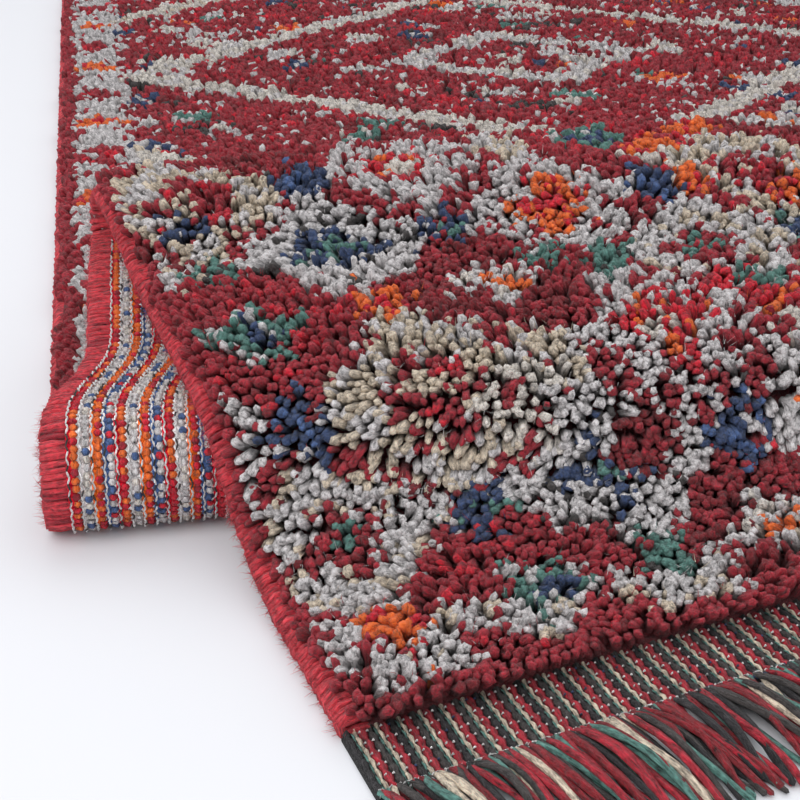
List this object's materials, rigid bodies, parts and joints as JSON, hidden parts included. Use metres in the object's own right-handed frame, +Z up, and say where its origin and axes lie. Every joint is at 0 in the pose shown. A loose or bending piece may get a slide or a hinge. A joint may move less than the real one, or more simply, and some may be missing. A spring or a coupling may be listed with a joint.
{
  "type": "shag rug",
  "caption": "Wool shag rug with one end folded over on itself in an S, pile up, with a flat-woven strip and fringe at both ends.",
  "frame": {"origin": "on the floor plane, at the underside of the flat part of the rug, near the middle of its width", "axes": "+Z up out of the pile, +Y along the rug towards its flat end, +X across it"},
  "size_m": [1.0062, 1.6249, 0.1132],
  "materials": {
    "rug_field": "shaggy wool pile",
    "selvage": "wool yarn",
    "fringe": "wool yarn"
  },
  "bodies": {
    "root": {"rug_field": "rug_field", "selvage_left": "selvage", "selvage_right": "selvage", "fringe_front": "fringe", "fringe_back": "fringe"}
  },
  "joints": []
}
